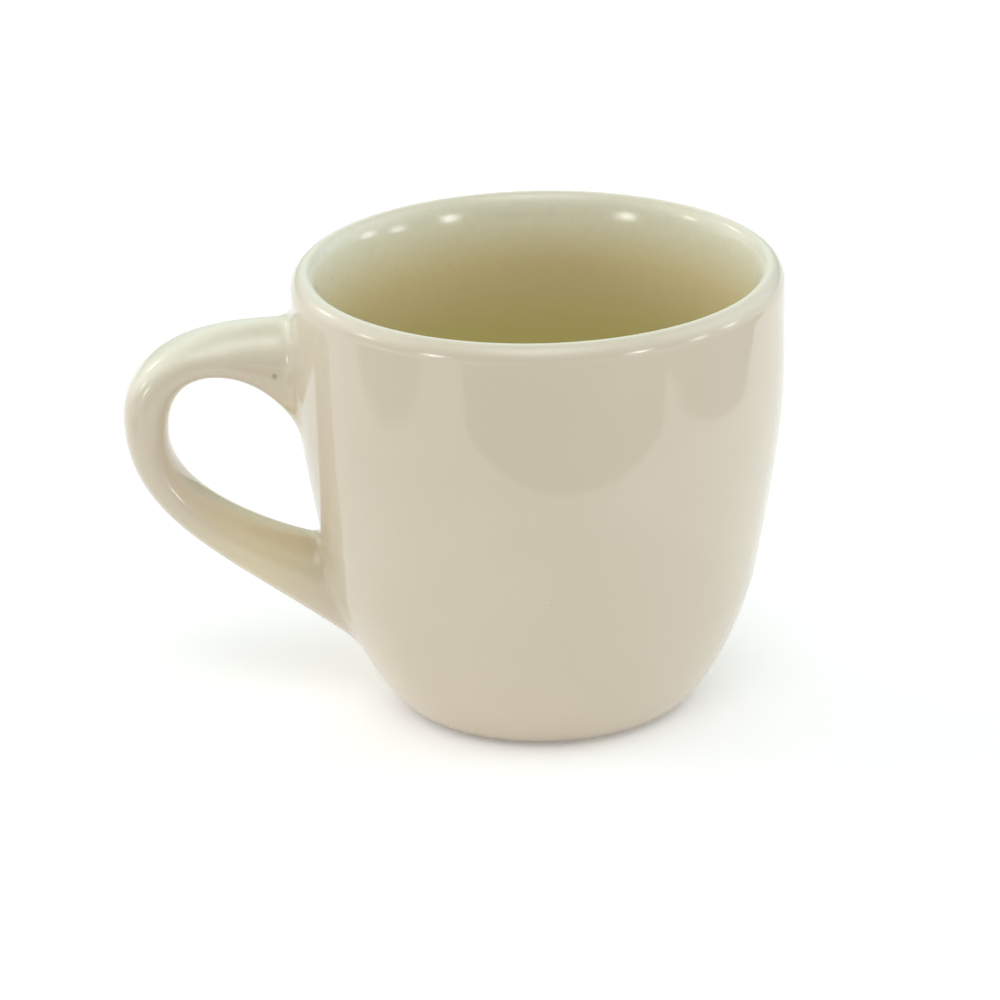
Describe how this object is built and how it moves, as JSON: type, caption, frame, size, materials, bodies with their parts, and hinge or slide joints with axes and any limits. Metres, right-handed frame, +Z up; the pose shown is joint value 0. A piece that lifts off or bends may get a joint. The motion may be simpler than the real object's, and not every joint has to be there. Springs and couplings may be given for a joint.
{
  "type": "coffee cup",
  "caption": "Thick ivory after-dinner coffee cup with a rounded bowl on a low foot ring and a one-finger loop handle luted on with slip under a clear glaze.",
  "frame": {"origin": "centre of the foot ring on the plane of the table, on the bowl's axis", "axes": "+Z up along the bowl's axis, the handle's loop lies in the XZ plane and points to -X, +Y is the side away from the picture's camera"},
  "size_m": [0.0863, 0.064, 0.0596],
  "materials": {
    "clay_body": "bare vitrified clay, fine and dull, seen only on the ring that stands on the table",
    "slip": "fired slip of the same clay",
    "glaze": "glossy ivory glaze"
  },
  "bodies": {
    "root": {"bowl": "clay_body", "handle": "clay_body", "upper_slip_joint": "slip", "lower_slip_joint": "slip", "bowl_glaze": "glaze", "handle_glaze": "glaze", "recess_glaze": "glaze"}
  },
  "joints": []
}
